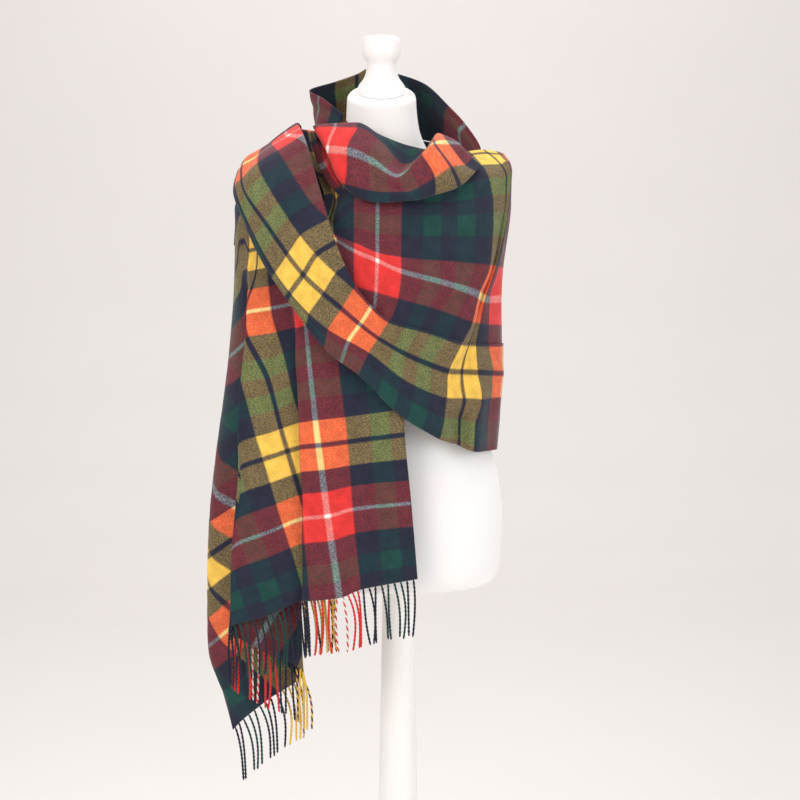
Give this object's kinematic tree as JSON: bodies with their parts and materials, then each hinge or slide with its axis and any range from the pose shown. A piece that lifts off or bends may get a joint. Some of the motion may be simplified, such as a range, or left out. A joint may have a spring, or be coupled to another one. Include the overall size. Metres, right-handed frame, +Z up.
{
  "type": "tartan blanket scarf on a dress form and stand",
  "caption": "Wide fringed tartan wool blanket scarf wound round a limbless dress form, over both shoulders and hanging in front, on a turned pole with a round base.",
  "frame": {"origin": "on the floor under the middle of the pole, at the base's underside", "axes": "+Z up; the form faces -Y; +X is the side on the right of someone who looks at its front"},
  "size_m": [0.4825, 0.3738, 1.6882],
  "materials": {
    "brushed wool tartan": "brushed napped wool, matte",
    "wool fringe": "twisted wool yarn, matte",
    "cream jersey": "tight smooth jersey, matte",
    "white lacquer": "satin white lacquer",
    "white painted wood": "satin white paint on turned wood"
  },
  "bodies": {
    "root": {"form_torso": "cream jersey", "form_cap": "white lacquer", "stand_base": "white painted wood", "stand_pole": "white painted wood", "scarf_front_end": "brushed wool tartan", "scarf_lower_wrap": "brushed wool tartan", "scarf_upper_wrap": "brushed wool tartan", "scarf_neck_roll": "brushed wool tartan", "scarf_collar": "brushed wool tartan", "scarf_back_wrap": "brushed wool tartan", "scarf_back_end": "brushed wool tartan", "fringe_front": "wool fringe", "fringe_left": "wool fringe", "fringe_inner": "wool fringe", "fringe_side": "wool fringe", "fringe_back": "wool fringe"}
  },
  "joints": []
}
